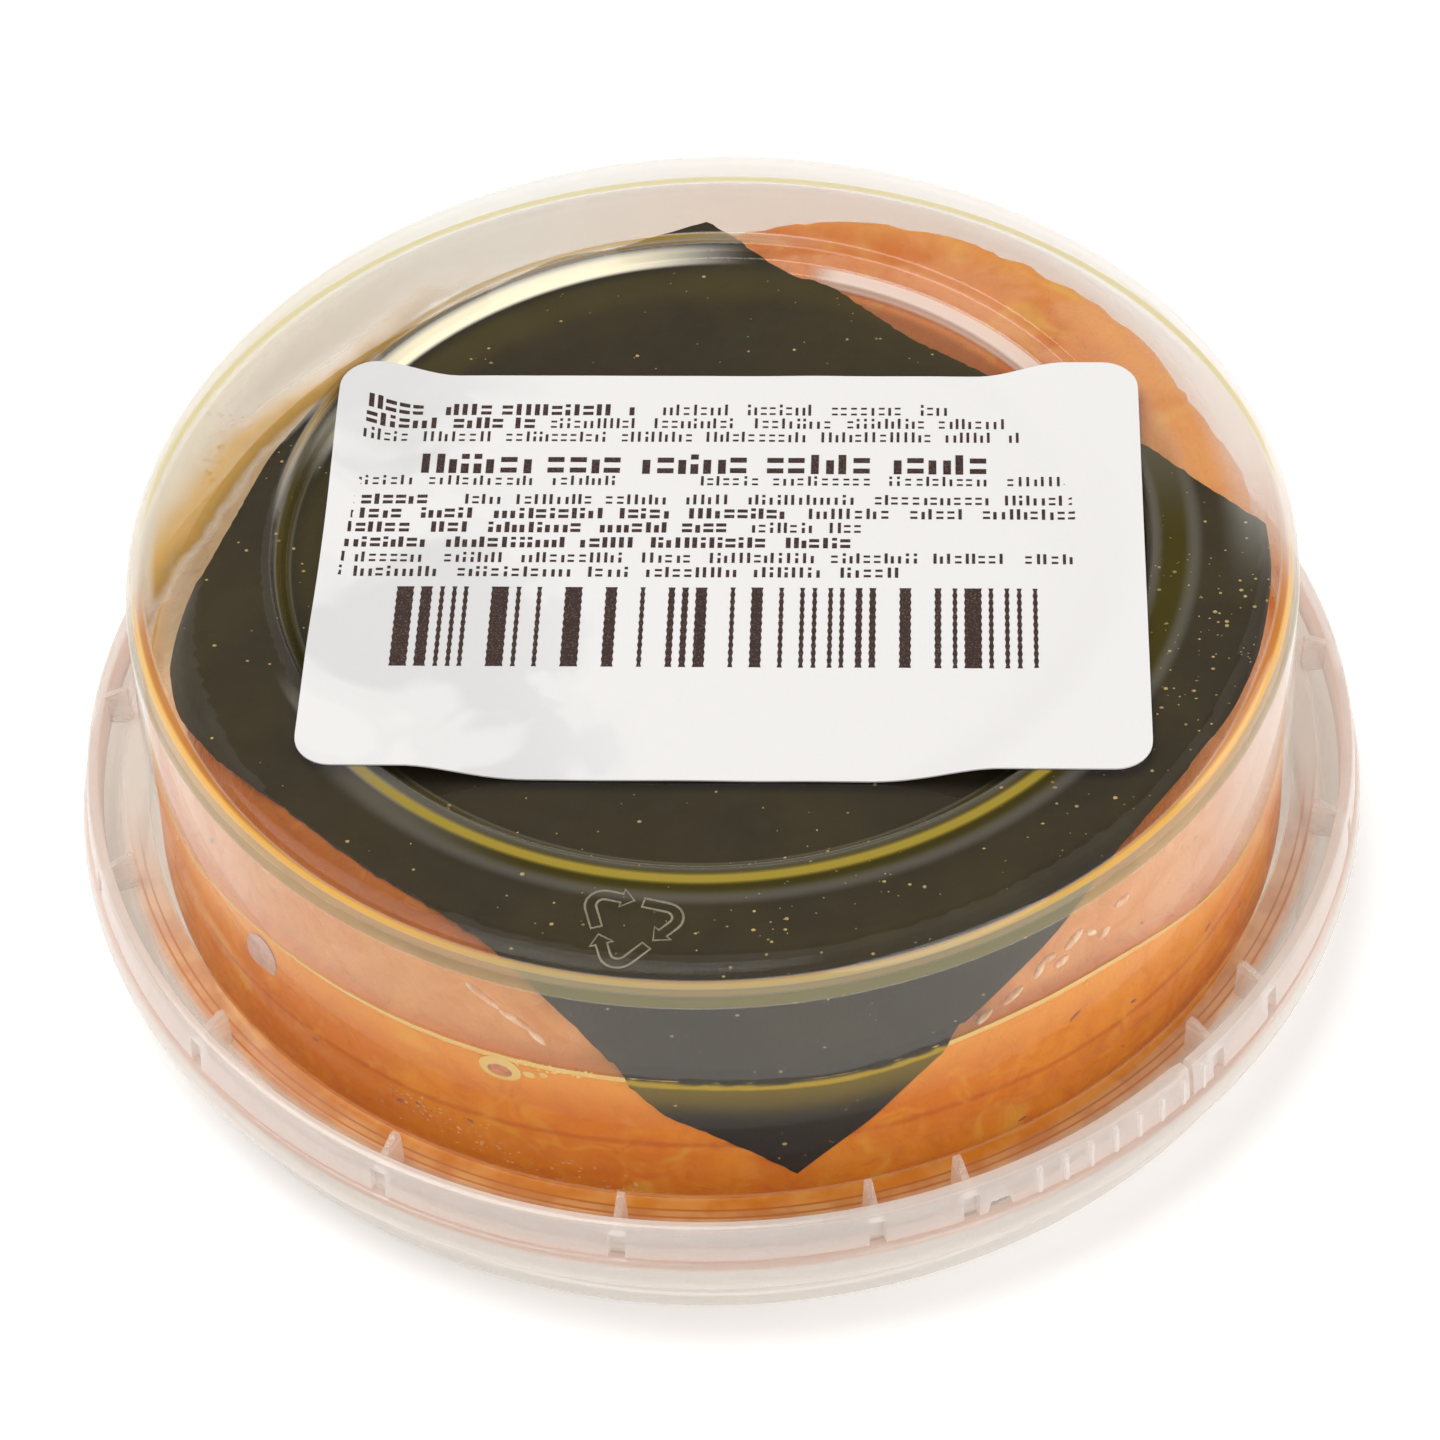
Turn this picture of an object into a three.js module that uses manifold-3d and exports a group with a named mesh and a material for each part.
// A sealed round plastic tub of sea urchin roe, standing upside down on its lid.
// Millimetres, +Z up. The origin is the centre of the lid's rim ring, on the surface it stands on.

import * as THREE from 'three';
import { mergeVertices } from 'three/addons/utils/BufferGeometryUtils.js';
import Module from 'manifold-3d';

const wasm = await Module();
wasm.setup();

// ---------------------------------------------------------------- driving dimensions

const ROUND_STEPS = 64; // straight sides of every turned piece
const GAP = 0.3; // clearance between pieces that touch

const PACK_HEIGHT = 31.4;

// Tub: base plate uppermost, mouth downwards.
const TUB_RADIUS = 41.5; // outside, just below the rounded base edge
const TUB_DRAFT = 0.035; // growth of the radius for each millimetre down
const TUB_WALL = 0.7;
const BASE_EDGE_ROUND = 2.4;
const BASE_RECESS_RADIUS = 29.9;
const BASE_RECESS_DEPTH = 1.5;
const BASE_RECESS_LEAN = 0.9; // how far the wall of the sunk middle leans outwards
const BASE_RECESS_EDGE = 0.6; // width of its softened upper edge
const EDGE_EASE = 0.25; // small drop or rise where two faces meet softly
const TUB_MOUTH_Z = 1.3;
const MOUTH_BEAD = 1.2; // how far the bead round the mouth stands out
const MOUTH_BEAD_EDGE = 0.4;
const MOUTH_BEAD_HEIGHT = 1.3;

// Flange and upright skirt round the tub.
const FLANGE_TOP_Z = 9.2;
const FLANGE_THICKNESS = 0.6;
const FLANGE_STEP_RADIUS = 44.0;
const FLANGE_STEP_HEIGHT = 0.25;
const SKIRT_INNER_RADIUS = 45.7;
const SKIRT_TOP_Z = 11.72;
const SKIRT_TOP_OUTER_RADIUS = 46.55;
const SKIRT_FOOT_OUTER_RADIUS = 46.9;

// Fins that tie the skirt to the flange, with a slot in the skirt outside each.
const FIN_DEGS = [
  -164.8, -143.2, -121.6, -100.3, -78.6, -36.0, -14.9, 6.1,
  27.1, 48.1, 69.1, 90.1, 111.1, 132.1, 153.1, 174.1,
];
const TAB_FIN_DEGS = [-70.4, -44.1]; // one at each end of the tear tab
const FIN_THICKNESS = 0.8;
const FIN_TOP_Z = 12.4;
const FIN_TOP_WIDTH = 0.4;
const FIN_ROOT = 0.3; // how deep a fin reaches into the flange
const SLOT_WIDTH = 1.1;
const SLOT_TOP_Z = 10.8;
const SLOT_DEPTH = 0.6;

// Tear tab: a stretch of the skirt that a slit frees at one end and a torn bridge holds at the other.
const TAB_START_DEG = -68.2;
const TAB_END_DEG = -47.9;
const TAB_LIP_START_DEG = -62.5;
const TAB_LIP_TOP_Z = 12.0;
const TAB_LIP_HEIGHT = 0.9;
const TAB_LIP_THICKNESS = 1.0;
const TAB_SLIT = 0.45;
const TAB_TEAR_DEG = -67.9;
const TAB_TEAR_SIZE = [1.8, 0.8]; // along the skirt, height
const TAB_TEAR_Z = 8.9;
const TAB_BRIDGE = 0.5; // height of skirt left whole over the torn slit
const GRIP_RIB_COUNT = 8;
const GRIP_RIB_FIRST_DEG = -64.1;
const GRIP_RIB_PITCH_DEG = 2.55;
const GRIP_RIB_SIZE = [0.45, 0.4, 2.4]; // radial, along the skirt, height
const GRIP_RIB_TOP_Z = 11.2;
const CUT_LIFT = 0.2; // height of the tab's cuts over the flange

// Lid.
const LID_TOP_Z = 8.3; // free edge of its rim
const LID_BULGE_RADIUS = 47.42;
const LID_WALL = 0.8;
const LID_RING_INNER_RADIUS = 40.9;
const LID_FOOT_ROUND = 1.5;
const LID_FOOT_RADIUS = 45.1;
const LID_PANEL_Z = 2.6; // underside of the sunk panel
const LID_PANEL_THICKNESS = 0.7;
const LID_PLUG_RADIUS = 41.2;
const LID_PLUG_TOP_Z = 6.9;
const LID_STEP_Z = 4.9; // step between the rim's lower taper and its rounded upper band
const LID_STEP_RADIUS = 46.0;
const LID_BULGE_Z = 6.9;
const LID_CORNER = 0.4;

// Paper label on the base plate.
const LABEL_SIZE = [58.0, 39.5];
const LABEL_CORNER = 2.6;
const LABEL_CENTRE = [1.3, -2.95];
const LABEL_TURN_DEG = -3.7;
const LABEL_THICKNESS = 0.25;
const LABEL_GRID = [20, 12]; // columns and rows of each face
const LABEL_CORNER_ROWS = 3;
const LABEL_SAG_WIDTH = 4.5; // over which it drops into the sunk middle

// Roe: a soft mass that fills the tub, uneven at its upper edge.
const ROE_RADIUS = 39.8;
const ROE_BOTTOM_Z = 3.7;
const ROE_FOOT_RADIUS = 39.6; // inside the lid's plug
const ROE_FOOT_ROUND = 0.6;
const ROE_WALL_FOOT_Z = 7.9;
const ROE_HOLLOW_RADIUS = 31.0; // pressed down by the sunk middle of the base plate
const ROE_CREST_RADIUS = 33.2;
const ROE_CREST_DROP = 0.6;
const ROE_SHOULDER_Z = 21.5; // where it leaves the wall
const ROE_SHOULDER_RADIUS = 35.4;
const ROE_SHOULDER_STEPS = 5;
const ROE_LOBES = [[3, 0.5, 0.4], [7, 0.35, 1.9], [13, 0.25, 4.1]]; // waves round, depth, phase
const ROE_LOBE_RISE = 0.4; // rise of the crest for each millimetre that a lobe stands out

// Kelp: a four-cornered sheet laid over the roe, its front corner bent down the side. Its corners
// are measured over the roe from the pack's axis, and each edge bows outwards between two of them.
const KELP_THICKNESS = 0.35;
const KELP_LIFT = 0.6; // clearance over the roe, more than GAP as both surfaces are bent
const KELP_GRID = 18;
const KELP_LEFT = [-39.6, -8.6];
const KELP_FRONT = [5.6, -56.2];
const KELP_RIGHT = [41.2, -3.8];
const KELP_BACK = [0.7, 34.4];
const KELP_BOWS = [2.2, 2.0, 1.4, 8.8]; // left to front, front to right, right to back, back to left

// ---------------------------------------------------------------- helpers

const radians = THREE.MathUtils.degToRad;

// Points on an arc about (r, z) in a turned piece's half section.
function arc(r, z, radius, fromDeg, toDeg, steps) {
  return Array.from({ length: steps + 1 }, (_, i) => {
    const a = radians(fromDeg + ((toDeg - fromDeg) * i) / steps);
    return [r + radius * Math.cos(a), z + radius * Math.sin(a)];
  });
}

function toSolid(geometry) {
  const bare = geometry.clone();
  bare.deleteAttribute('normal');
  bare.deleteAttribute('uv');
  const merged = mergeVertices(bare, 1e-4);
  return new wasm.Manifold(new wasm.Mesh({
    numProp: 3,
    vertProperties: merged.attributes.position.array,
    triVerts: new Uint32Array(merged.index.array),
  }));
}

function toMesh(name, solid, material) {
  const { vertProperties, triVerts } = solid.getMesh();
  const geometry = new THREE.BufferGeometry();
  geometry.setAttribute('position', new THREE.BufferAttribute(vertProperties, 3));
  geometry.setIndex(new THREE.BufferAttribute(triVerts, 1));
  geometry.computeVertexNormals();
  const mesh = new THREE.Mesh(geometry, material);
  mesh.name = name;
  return mesh;
}

// A half section of [radius, z] points turned about the Z axis.
function turned(section) {
  const points = section.map(([r, z]) => new THREE.Vector2(r, z));
  return toSolid(new THREE.LatheGeometry(points, ROUND_STEPS).rotateX(Math.PI / 2));
}

// A box whose inner face stands at a radius, turned to an angle round the pack.
function radialBox(degrees, innerRadius, depth, width, lowZ, highZ) {
  const box = new THREE.BoxGeometry(depth, width, highZ - lowZ);
  box.translate(innerRadius + depth / 2, 0, (lowZ + highZ) / 2);
  return toSolid(box.rotateZ(radians(degrees)));
}

// A closed thin sheet from two grids of points: its top face and its bottom face.
function sheetSolid(columns, rows, topPoint, bottomPoint) {
  const positions = [];
  for (const pointAt of [topPoint, bottomPoint])
    for (let j = 0; j <= rows; j++)
      for (let i = 0; i <= columns; i++)
        positions.push(...pointAt(i / columns, j / rows));
  const index = [];
  const across = columns + 1;
  const half = across * (rows + 1);
  const quad = (a, b, c, d) => index.push(a, b, c, a, c, d);
  for (let j = 0; j < rows; j++)
    for (let i = 0; i < columns; i++) {
      const a = j * across + i;
      quad(a, a + 1, a + across + 1, a + across);
      index.push(half + a, half + a + across + 1, half + a + 1);
      index.push(half + a, half + a + across, half + a + across + 1);
    }
  const border = [];
  for (let i = 0; i < columns; i++) border.push(i);
  for (let j = 0; j < rows; j++) border.push(j * across + columns);
  for (let i = columns; i > 0; i--) border.push(rows * across + i);
  for (let j = rows; j > 0; j--) border.push(j * across);
  border.forEach((a, k) => {
    const b = border[(k + 1) % border.length];
    quad(b, a, a + half, b + half);
  });
  const geometry = new THREE.BufferGeometry();
  geometry.setAttribute('position', new THREE.Float32BufferAttribute(positions, 3));
  geometry.setIndex(index);
  return toSolid(geometry);
}

const smooth = (low, high, value) => THREE.MathUtils.smoothstep(value, low, high);

// ---------------------------------------------------------------- tub

const tubOuter = (z) => TUB_RADIUS + TUB_DRAFT * (PACK_HEIGHT - BASE_EDGE_ROUND - z);
const tubInner = (z) => tubOuter(z) - TUB_WALL;

function tubSection() {
  const edgeR = TUB_RADIUS - BASE_EDGE_ROUND;
  const edgeZ = PACK_HEIGHT - BASE_EDGE_ROUND;
  const recessZ = PACK_HEIGHT - BASE_RECESS_DEPTH;
  const recessR = BASE_RECESS_RADIUS;
  const recessTopR = recessR + BASE_RECESS_LEAN;
  const flangeUnder = FLANGE_TOP_Z - FLANGE_THICKNESS;
  const flangeTop = FLANGE_TOP_Z + FLANGE_STEP_HEIGHT;
  const mouthR = tubInner(TUB_MOUTH_Z);
  const beadR = tubOuter(TUB_MOUTH_Z) + MOUTH_BEAD;
  const beadZ = TUB_MOUTH_Z + MOUTH_BEAD_HEIGHT;
  return [
    // inside, from the axis under the base plate to the mouth
    [0, recessZ - TUB_WALL],
    [recessR - EDGE_EASE, recessZ - TUB_WALL],
    [recessTopR, PACK_HEIGHT - TUB_WALL],
    ...arc(edgeR, edgeZ, BASE_EDGE_ROUND - TUB_WALL, 90, 0, 4),
    [mouthR, TUB_MOUTH_Z + MOUTH_BEAD_EDGE],
    // mouth edge and its small outward bead
    [mouthR + MOUTH_BEAD_EDGE, TUB_MOUTH_Z],
    [beadR - MOUTH_BEAD_EDGE, TUB_MOUTH_Z],
    [beadR, TUB_MOUTH_Z + MOUTH_BEAD_EDGE],
    [beadR, beadZ],
    [tubOuter(beadZ), beadZ + MOUTH_BEAD / 2],
    // flange and skirt
    [tubOuter(flangeUnder), flangeUnder],
    [SKIRT_FOOT_OUTER_RADIUS, flangeUnder],
    [SKIRT_FOOT_OUTER_RADIUS, FLANGE_TOP_Z],
    [SKIRT_TOP_OUTER_RADIUS, SKIRT_TOP_Z],
    [SKIRT_INNER_RADIUS, SKIRT_TOP_Z],
    [SKIRT_INNER_RADIUS, FLANGE_TOP_Z],
    [FLANGE_STEP_RADIUS + FLANGE_STEP_HEIGHT, FLANGE_TOP_Z],
    [FLANGE_STEP_RADIUS, flangeTop],
    [tubOuter(flangeTop), flangeTop],
    // outer wall, rounded base edge, base plate and its sunk middle
    ...arc(edgeR, edgeZ, BASE_EDGE_ROUND, 0, 90, 6),
    [recessTopR + BASE_RECESS_EDGE, PACK_HEIGHT],
    [recessTopR, PACK_HEIGHT - EDGE_EASE],
    [recessR + EDGE_EASE, recessZ + EDGE_EASE],
    [recessR, recessZ],
    [0, recessZ],
  ];
}

// A fin's side outline runs from the flange's step to the skirt, highest at its inner end.
function fin(degrees) {
  const outerR = SKIRT_INNER_RADIUS + EDGE_EASE;
  const side = new THREE.Shape([
    new THREE.Vector2(FLANGE_STEP_RADIUS, FLANGE_TOP_Z - FIN_ROOT),
    new THREE.Vector2(outerR, FLANGE_TOP_Z - FIN_ROOT),
    new THREE.Vector2(outerR, SKIRT_TOP_Z),
    new THREE.Vector2(FLANGE_STEP_RADIUS + FIN_TOP_WIDTH, FIN_TOP_Z),
    new THREE.Vector2(FLANGE_STEP_RADIUS, FIN_TOP_Z),
  ]);
  const plate = new THREE.ExtrudeGeometry(side, { depth: FIN_THICKNESS, bevelEnabled: false });
  plate.translate(0, 0, -FIN_THICKNESS / 2).rotateX(Math.PI / 2).rotateZ(radians(degrees));
  return toSolid(plate);
}

function slot(degrees) {
  const innerR = SKIRT_FOOT_OUTER_RADIUS - SLOT_DEPTH;
  return radialBox(degrees, innerR, 2 * SLOT_DEPTH, SLOT_WIDTH, FLANGE_TOP_Z - 1, SLOT_TOP_Z);
}

// The lip along the tear tab's upper edge: a crescent that is widest at its rounded free end.
function tabLip() {
  const inner = SKIRT_INNER_RADIUS;
  const halfWidth = TAB_LIP_THICKNESS / 2;
  const start = radians(TAB_LIP_START_DEG);
  const end = radians(TAB_END_DEG);
  const middle = inner + halfWidth;
  const outline = [];
  const steps = 8;
  for (let i = 0; i <= steps; i++) {
    const a = start + ((end - start) * i) / steps;
    const r = SKIRT_TOP_OUTER_RADIUS + (inner + TAB_LIP_THICKNESS - SKIRT_TOP_OUTER_RADIUS) * (i / steps);
    outline.push(new THREE.Vector2(r * Math.cos(a), r * Math.sin(a)));
  }
  const shape = new THREE.Shape(outline);
  shape.absarc(middle * Math.cos(end), middle * Math.sin(end), halfWidth, end, end + Math.PI, false);
  shape.absarc(0, 0, inner, end, start, true);
  const lip = new THREE.ExtrudeGeometry(shape, {
    depth: TAB_LIP_HEIGHT, bevelEnabled: false, curveSegments: steps,
  });
  return toSolid(lip.translate(0, 0, TAB_LIP_TOP_Z - TAB_LIP_HEIGHT));
}

function gripRibs() {
  const [proud, width, height] = GRIP_RIB_SIZE;
  return Array.from({ length: GRIP_RIB_COUNT }, (_, i) => radialBox(
    GRIP_RIB_FIRST_DEG + i * GRIP_RIB_PITCH_DEG,
    SKIRT_TOP_OUTER_RADIUS - EDGE_EASE, proud + EDGE_EASE, width, GRIP_RIB_TOP_Z - height, GRIP_RIB_TOP_Z,
  ));
}

// A cut straight through the skirt.
function skirtCut(degrees, width, lowZ, highZ) {
  return radialBox(degrees, SKIRT_INNER_RADIUS - EDGE_EASE, 2, width, lowZ, highZ);
}

// The tab's cuts: the slit past its free end, and the torn slit and tear at its held end.
function tabCuts() {
  const lowZ = FLANGE_TOP_Z + CUT_LIFT;
  const [tearWidth, tearHeight] = TAB_TEAR_SIZE;
  const freeDeg = TAB_END_DEG + THREE.MathUtils.radToDeg(TAB_LIP_THICKNESS / SKIRT_INNER_RADIUS);
  return [
    skirtCut(freeDeg, TAB_SLIT, lowZ, FIN_TOP_Z),
    skirtCut(TAB_START_DEG, TAB_SLIT, lowZ, SKIRT_TOP_Z - TAB_BRIDGE),
    skirtCut(TAB_TEAR_DEG, tearWidth, TAB_TEAR_Z, TAB_TEAR_Z + tearHeight),
  ];
}

function buildTub() {
  const finDegrees = [...FIN_DEGS, ...TAB_FIN_DEGS];
  const added = [...finDegrees.map(fin), tabLip(), ...gripRibs()];
  const removed = [...finDegrees.map(slot), ...tabCuts()];
  const whole = added.reduce((tub, piece) => tub.add(piece), turned(tubSection()));
  return removed.reduce((tub, piece) => tub.subtract(piece), whole);
}

// ---------------------------------------------------------------- lid

function buildLid() {
  const plugInner = LID_PLUG_RADIUS - LID_WALL;
  const panelTop = LID_PANEL_Z + LID_PANEL_THICKNESS;
  const ringWallR = LID_RING_INNER_RADIUS - LID_CORNER;
  const grooveOuter = LID_FOOT_RADIUS - LID_WALL;
  return turned([
    // underside: sunk panel, ring that it stands on, rounded foot
    [0, LID_PANEL_Z],
    [ringWallR - 2 * LID_CORNER, LID_PANEL_Z],
    [ringWallR - LID_CORNER, LID_PANEL_Z - LID_CORNER],
    [ringWallR, LID_CORNER],
    [LID_RING_INNER_RADIUS, 0],
    ...arc(LID_FOOT_RADIUS - LID_FOOT_ROUND, LID_FOOT_ROUND, LID_FOOT_ROUND, -90, 0, 4),
    // outside of the rim: a taper, a small step and the rounded upper band
    [LID_STEP_RADIUS, LID_STEP_Z],
    [LID_STEP_RADIUS + 0.7, LID_STEP_Z + LID_CORNER],
    [LID_BULGE_RADIUS - 0.15, LID_BULGE_Z - 2 * LID_CORNER],
    [LID_BULGE_RADIUS, LID_BULGE_Z],
    [LID_BULGE_RADIUS - LID_CORNER / 2, LID_TOP_Z - LID_CORNER],
    [LID_BULGE_RADIUS - 1.5 * LID_CORNER, LID_TOP_Z],
    [LID_BULGE_RADIUS - 3 * LID_CORNER, LID_TOP_Z],
    // inside of the rim and the groove that takes the tub's mouth
    [LID_BULGE_RADIUS - 1.0, LID_BULGE_Z],
    [LID_STEP_RADIUS - LID_WALL, LID_STEP_Z],
    [grooveOuter, LID_FOOT_ROUND],
    [grooveOuter - LID_CORNER, LID_WALL],
    [LID_PLUG_RADIUS + LID_CORNER, LID_WALL],
    // plug ring that reaches into the tub, then the panel's inner face
    [LID_PLUG_RADIUS, LID_WALL + LID_CORNER],
    [LID_PLUG_RADIUS, LID_PLUG_TOP_Z - LID_CORNER],
    [LID_PLUG_RADIUS - LID_CORNER, LID_PLUG_TOP_Z],
    [plugInner, LID_PLUG_TOP_Z],
    [plugInner, panelTop + LID_CORNER],
    [plugInner - LID_CORNER, panelTop],
    [0, panelTop],
  ]);
}

// ---------------------------------------------------------------- label

// Height of the label's lower face: flat on the base plate, sagging into the sunk middle.
function labelBed(x, y) {
  const out = smooth(BASE_RECESS_RADIUS - LABEL_SAG_WIDTH, BASE_RECESS_RADIUS, Math.hypot(x, y));
  return PACK_HEIGHT + GAP - BASE_RECESS_DEPTH * (1 - out);
}

// Distances of the label's rows of points from its centre line, closer together round its corners.
function labelRows(depth) {
  const straight = depth / 2 - LABEL_CORNER;
  const corner = Array.from({ length: LABEL_CORNER_ROWS }, (_, i) => {
    const a = ((Math.PI / 2) * (i + 1)) / LABEL_CORNER_ROWS;
    return straight + LABEL_CORNER * Math.sin(a);
  });
  const steps = LABEL_GRID[1] - 2 * LABEL_CORNER_ROWS;
  const middle = Array.from({ length: steps + 1 }, (_, i) => straight * ((2 * i) / steps - 1));
  return [...corner.map((along) => -along).reverse(), ...middle, ...corner];
}

function buildLabel() {
  const [width, depth] = LABEL_SIZE;
  const rows = labelRows(depth);
  const turn = radians(LABEL_TURN_DEG);
  const at = (lift) => (u, v) => {
    const along = rows[Math.round(v * (rows.length - 1))];
    const intoCorner = Math.max(0, Math.abs(along) - (depth / 2 - LABEL_CORNER));
    const inset = LABEL_CORNER - Math.sqrt(Math.max(0, LABEL_CORNER ** 2 - intoCorner ** 2));
    const across = (u - 0.5) * (width - 2 * inset);
    const x = LABEL_CENTRE[0] + across * Math.cos(turn) - along * Math.sin(turn);
    const y = LABEL_CENTRE[1] + across * Math.sin(turn) + along * Math.cos(turn);
    return [x, y, labelBed(x, y) + lift];
  };
  return sheetSolid(...LABEL_GRID, at(LABEL_THICKNESS), at(0));
}

// ---------------------------------------------------------------- roe and kelp

// The roe's upper outline in the plane of one angle, from the axis out and down the wall.
function roeOutline(angle) {
  const lobe = ([waves, size, phase]) => size * Math.sin(waves * angle + phase);
  const lobes = ROE_LOBES.map(lobe).reduce((sum, size) => sum + size);
  const topZ = PACK_HEIGHT - TUB_WALL - GAP - KELP_THICKNESS - KELP_LIFT;
  const middleZ = topZ - BASE_RECESS_DEPTH;
  const shoulderR = ROE_SHOULDER_RADIUS + lobes;
  const crestZ = topZ - ROE_CREST_DROP + ROE_LOBE_RISE * lobes;
  const points = [
    [0, middleZ],
    [ROE_HOLLOW_RADIUS / 2, middleZ],
    [ROE_HOLLOW_RADIUS, middleZ],
    [ROE_CREST_RADIUS, crestZ],
  ];
  for (let i = 0; i <= ROE_SHOULDER_STEPS; i++) {
    const a = ((Math.PI / 2) * i) / ROE_SHOULDER_STEPS;
    points.push([
      shoulderR + (ROE_RADIUS - shoulderR) * Math.sin(a),
      ROE_SHOULDER_Z + (crestZ - ROE_SHOULDER_Z) * Math.cos(a),
    ]);
  }
  points.push([ROE_RADIUS, (ROE_SHOULDER_Z + ROE_WALL_FOOT_Z) / 2], [ROE_RADIUS, ROE_WALL_FOOT_Z]);
  return points;
}

function buildRoe() {
  const foot = [
    [ROE_FOOT_RADIUS, ROE_WALL_FOOT_Z - ROE_FOOT_ROUND],
    [ROE_FOOT_RADIUS, ROE_BOTTOM_Z + ROE_FOOT_ROUND],
    [ROE_FOOT_RADIUS - ROE_FOOT_ROUND, ROE_BOTTOM_Z],
    [0, ROE_BOTTOM_Z],
  ];
  const rings = roeOutline(0).length + foot.length;
  const blank = new THREE.LatheGeometry(
    Array.from({ length: rings }, () => new THREE.Vector2(1, 0)), ROUND_STEPS,
  );
  const position = blank.attributes.position;
  for (let column = 0; column <= ROUND_STEPS; column++) {
    const angle = (2 * Math.PI * (column % ROUND_STEPS)) / ROUND_STEPS;
    [...roeOutline(angle), ...foot].reverse().forEach(([r, z], ring) => {
      position.setXYZ(column * rings + ring, r * Math.cos(angle), r * Math.sin(angle), z);
    });
  }
  return toSolid(blank);
}

// The point a given way along the roe's outline from the axis, raised off the roe.
function overRoe(angle, distance, lift) {
  const outline = roeOutline(angle);
  let left = distance;
  for (let i = 1; i < outline.length; i++) {
    const [r0, z0] = outline[i - 1];
    const [r1, z1] = outline[i];
    const length = Math.hypot(r1 - r0, z1 - z0);
    if (left <= length || i === outline.length - 1) {
      const t = left / length;
      const r = r0 + (r1 - r0) * t + (lift * (z0 - z1)) / length;
      const z = z0 + (z1 - z0) * t + (lift * (r1 - r0)) / length;
      return [r * Math.cos(angle), r * Math.sin(angle), z];
    }
    left -= length;
  }
}

// A point of the kelp laid flat: a share of its four corners, moved out by a share of its edges' bows.
function kelpFlat(u, v) {
  const corners = [KELP_LEFT, KELP_FRONT, KELP_RIGHT, KELP_BACK].map((xy) => new THREE.Vector2(...xy));
  const cornerShares = [(1 - u) * (1 - v), u * (1 - v), u * v, (1 - u) * v];
  const edgeShares = [u * (1 - u) * (1 - v), v * (1 - v) * u, u * (1 - u) * v, v * (1 - v) * (1 - u)];
  const point = new THREE.Vector2();
  corners.forEach((corner, k) => {
    const along = corners[(k + 1) % corners.length].clone().sub(corner).normalize();
    const outwards = new THREE.Vector2(along.y, -along.x);
    point.addScaledVector(corner, cornerShares[k]);
    point.addScaledVector(outwards, 4 * edgeShares[k] * KELP_BOWS[k]);
  });
  return point;
}

function buildKelp() {
  const at = (lift) => (u, v) => {
    const { x, y } = kelpFlat(u, v);
    return overRoe(Math.atan2(y, x), Math.hypot(x, y), lift);
  };
  return sheetSolid(KELP_GRID, KELP_GRID, at(KELP_LIFT + KELP_THICKNESS), at(KELP_LIFT));
}

// ---------------------------------------------------------------- the pack

const clearPlastic = new THREE.MeshStandardMaterial({
  color: 0xe9e2da, roughness: 0.15, metalness: 0, transparent: true, opacity: 0.35,
});
const milkyPlastic = new THREE.MeshStandardMaterial({
  color: 0xe2d8d0, roughness: 0.3, metalness: 0, transparent: true, opacity: 0.7,
});
const paper = new THREE.MeshStandardMaterial({ color: 0xf6f4f1, roughness: 0.6, metalness: 0 });
const roeFlesh = new THREE.MeshStandardMaterial({ color: 0xd27a2c, roughness: 0.35, metalness: 0 });
const driedKelp = new THREE.MeshStandardMaterial({ color: 0x2f2b1c, roughness: 0.45, metalness: 0 });

const group = new THREE.Group();
group.add(
  toMesh('tub', buildTub(), clearPlastic),
  toMesh('lid', buildLid(), milkyPlastic),
  toMesh('label', buildLabel(), paper),
  toMesh('roe', buildRoe(), roeFlesh),
  toMesh('kelp_sheet', buildKelp(), driedKelp),
);

export default group;
